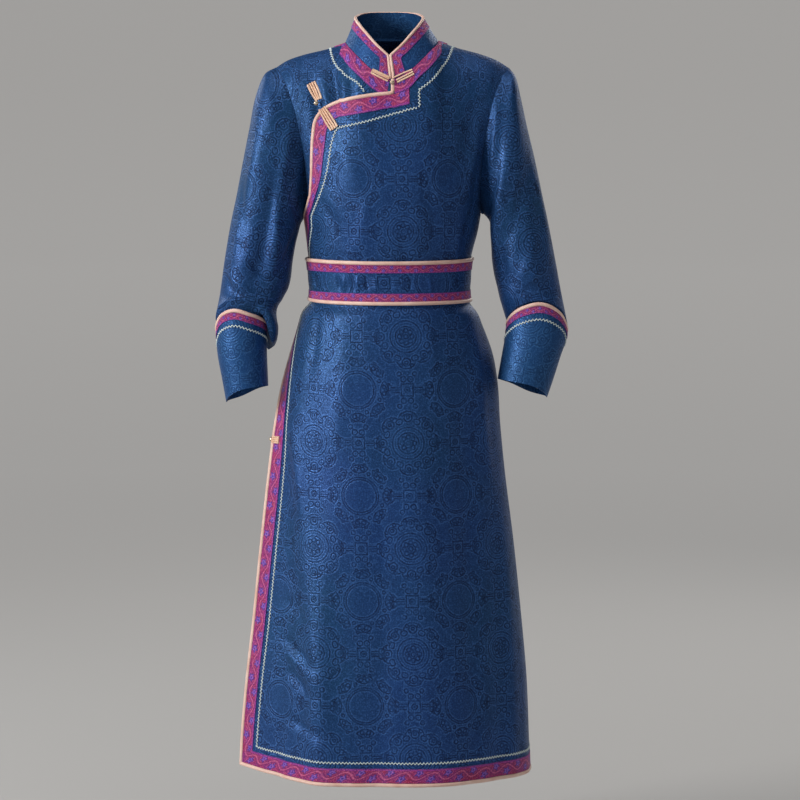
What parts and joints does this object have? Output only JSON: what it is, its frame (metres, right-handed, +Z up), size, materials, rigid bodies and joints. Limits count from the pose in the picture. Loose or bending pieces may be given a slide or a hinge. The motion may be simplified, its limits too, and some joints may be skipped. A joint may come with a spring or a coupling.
{
  "type": "mongolian deel robe",
  "caption": "Long Mongolian robe with a flap that laps to the wearer's right, standing collar, long sleeves with arched cuffs, a belt and banded edges.",
  "frame": {"origin": "middle of the base of the neck, level with the inner ends of the shoulder seams, where the wearer's shoulders hold the robe", "axes": "+Z up, the front faces -Y, and the wearer's right is -X"},
  "size_m": [0.6068, 0.3516, 1.3051],
  "materials": {
    "brocade": "navy and royal blue satin damask, woven tone on tone",
    "cuff_brocade": "teal blue satin damask of the turned-back cuffs",
    "band": "patterned pink and violet woven band",
    "piping": "peach pink satin over a cord",
    "braid": "pale green zigzag braid",
    "frog": "gold peach satin cord",
    "knot": "polished metal ball buttons"
  },
  "bodies": {
    "root": {"back": "brocade", "back_hem_band": "band", "back_hem_braid": "braid", "back_hem_piping": "piping", "belt": "brocade", "belt_band_lower": "band", "belt_band_upper": "band", "belt_piping_lower": "piping", "belt_piping_upper": "piping", "chest_frog_knot": "knot", "chest_frog_lower": "frog", "chest_frog_upper": "frog", "flap_band": "band", "flap_braid": "braid", "flap_piping": "piping", "left_collar": "brocade", "left_collar_band": "band", "left_collar_piping": "piping", "left_cuff": "cuff_brocade", "left_cuff_band": "band", "left_cuff_braid": "braid", "left_cuff_piping": "piping", "left_sleeve": "brocade", "neck_band_back": "band", "neck_band_left": "band", "neck_band_right": "band", "neck_braid_back": "braid", "neck_braid_left": "braid", "neck_braid_right": "braid", "neck_frog_knot": "knot", "neck_frog_left": "frog", "neck_frog_right": "frog", "outer_front": "brocade", "right_collar": "brocade", "right_collar_band": "band", "right_collar_piping": "piping", "right_cuff": "cuff_brocade", "right_cuff_band": "band", "right_cuff_braid": "braid", "right_cuff_piping": "piping", "right_sleeve": "brocade", "side_frog_back": "frog", "side_frog_front": "frog", "side_frog_knot": "knot", "under_front": "brocade"}
  },
  "joints": []
}
